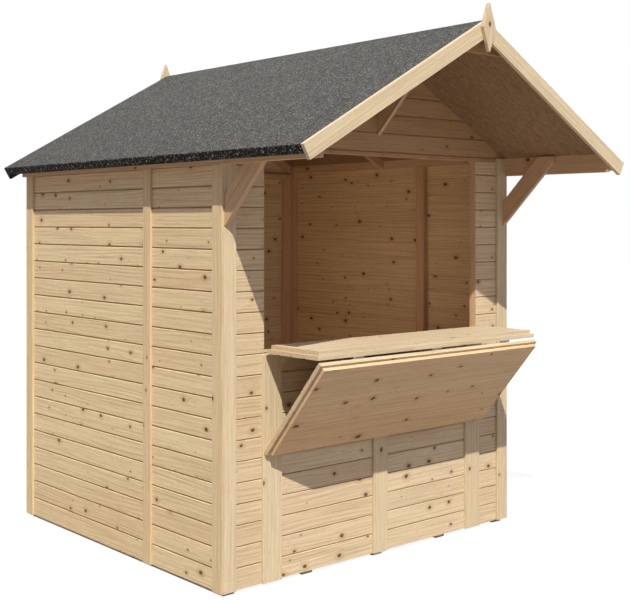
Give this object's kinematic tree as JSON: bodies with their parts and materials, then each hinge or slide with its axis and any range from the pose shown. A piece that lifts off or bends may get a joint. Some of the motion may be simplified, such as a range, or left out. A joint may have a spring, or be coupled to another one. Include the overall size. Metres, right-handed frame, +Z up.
{
  "type": "wooden market stall",
  "caption": "Boarded wooden market stall with an apex felt roof, a deep front overhang on braces, and a hatch that drops to a counter on a folding prop leaf.",
  "frame": {"origin": "under the middle of the stall, on the underside of the floor bearers, centred on the whole length and width of the roof", "axes": "+Z up, -Y out of the serving side, +X to the right of a person who faces that side from outside"},
  "size_m": [2.068, 2.498, 2.5128],
  "materials": {
    "wall_board": "planed softwood boards with V joints, oiled",
    "trim_wood": "planed softwood, oiled",
    "frame_wood": "planed softwood framing",
    "bearer_wood": "sawn softwood",
    "floor_board": "planed floor boards",
    "hatch_wood": "planed softwood boards, oiled",
    "roof_deck": "pressed strand board, bare",
    "roof_felt": "mineral roofing felt with a grey grit face",
    "hinge_steel": "zinc plated"
  },
  "bodies": {
    "stall": {"floor_bearers": "bearer_wood", "floor_deck": "floor_board", "left_wall_boards": "wall_board", "right_wall_boards": "wall_board", "back_wall_boards": "wall_board", "rear_gable_boards": "wall_board", "front_side_panels": "wall_board", "lower_front_panels": "wall_board", "front_gable_boards": "wall_board", "side_wall_studs": "frame_wood", "end_wall_studs": "frame_wood", "bottom_rails": "frame_wood", "top_rails": "frame_wood", "sill": "frame_wood", "lintel": "frame_wood", "corner_face_trims": "trim_wood", "corner_side_trims": "trim_wood", "side_cover_battens": "trim_wood", "back_cover_batten": "trim_wood", "front_battens": "trim_wood", "hatch_ledger": "trim_wood", "left_eave_beam": "frame_wood", "right_eave_beam": "frame_wood", "knee_braces": "trim_wood", "ridge_brace": "trim_wood", "ridge_board": "frame_wood", "left_rafters": "frame_wood", "right_rafters": "frame_wood", "left_roof_deck": "roof_deck", "right_roof_deck": "roof_deck", "left_felt": "roof_felt", "right_felt": "roof_felt", "eave_rails": "trim_wood", "left_bargeboard": "trim_wood", "right_bargeboard": "trim_wood", "rear_verge_boards": "trim_wood", "apex_gusset": "trim_wood", "front_finial": "trim_wood", "rear_finial": "trim_wood", "fixed_hinges": "hinge_steel"},
    "counter": {"counter_outer_boards": "hatch_wood", "counter_top": "hatch_wood", "counter_hinges": "hinge_steel"},
    "prop": {"prop_outer_boards": "hatch_wood", "prop_face_boards": "hatch_wood", "prop_hinges": "hinge_steel"}
  },
  "joints": [
    {"name": "counter_hinge", "type": "hinge", "parent": "stall", "child": "counter", "pos_m": [0, -0.6, 1.006], "axis": [-1, 0, 0], "range_deg": [0, 90]},
    {"name": "prop_hinge", "type": "hinge", "parent": "counter", "child": "prop", "pos_m": [0, -0.94, 1.006], "axis": [-1, 0, 0], "range_deg": [0, 130.26]}
  ]
}
